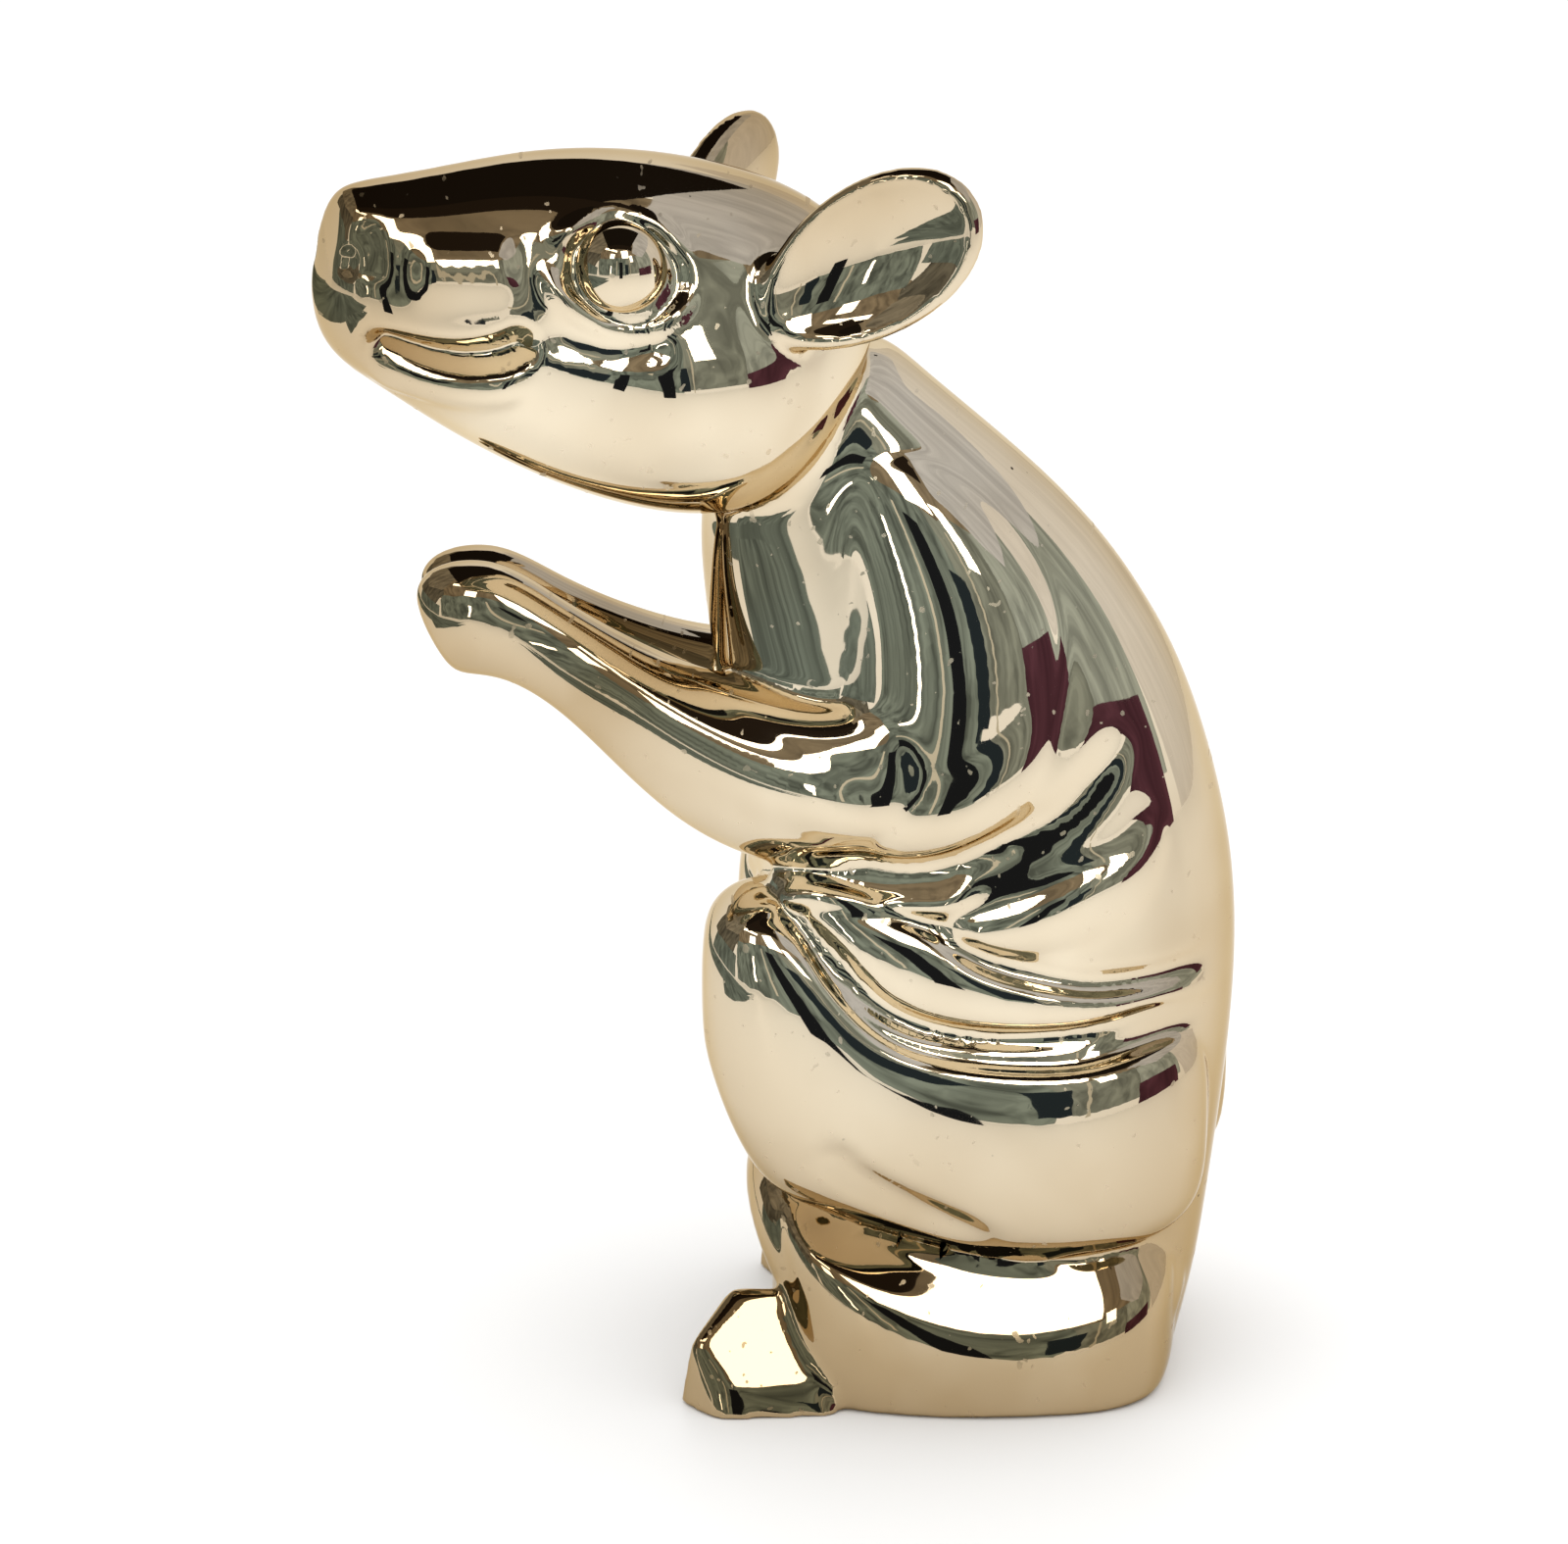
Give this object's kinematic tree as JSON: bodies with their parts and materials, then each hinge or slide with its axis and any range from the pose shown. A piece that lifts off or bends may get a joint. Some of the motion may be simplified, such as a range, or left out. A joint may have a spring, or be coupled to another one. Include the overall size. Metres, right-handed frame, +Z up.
{
  "type": "rat figurine",
  "caption": "Sitting rat ornament with joined raised forepaws, turned head and tail wrapped round the base, solid crystal under a gold mirror film.",
  "frame": {"origin": "middle of the flat underside that the figurine stands on", "axes": "+Z up; the rat faces -Y; its left side, where the tail wraps the base, is +X"},
  "size_m": [0.0529, 0.0943, 0.1309],
  "materials": {
    "gilded_crystal": "gold mirror film on polished cast crystal, with a few fine scratches"
  },
  "bodies": {
    "root": {"torso": "gilded_crystal", "head": "gilded_crystal", "left_ear": "gilded_crystal", "right_ear": "gilded_crystal", "left_eye": "gilded_crystal", "right_eye": "gilded_crystal", "left_foreleg": "gilded_crystal", "right_foreleg": "gilded_crystal", "left_haunch": "gilded_crystal", "right_haunch": "gilded_crystal", "left_flank_fold": "gilded_crystal", "right_flank_fold": "gilded_crystal", "left_hind_foot": "gilded_crystal", "right_hind_foot": "gilded_crystal", "tail": "gilded_crystal"}
  },
  "joints": []
}
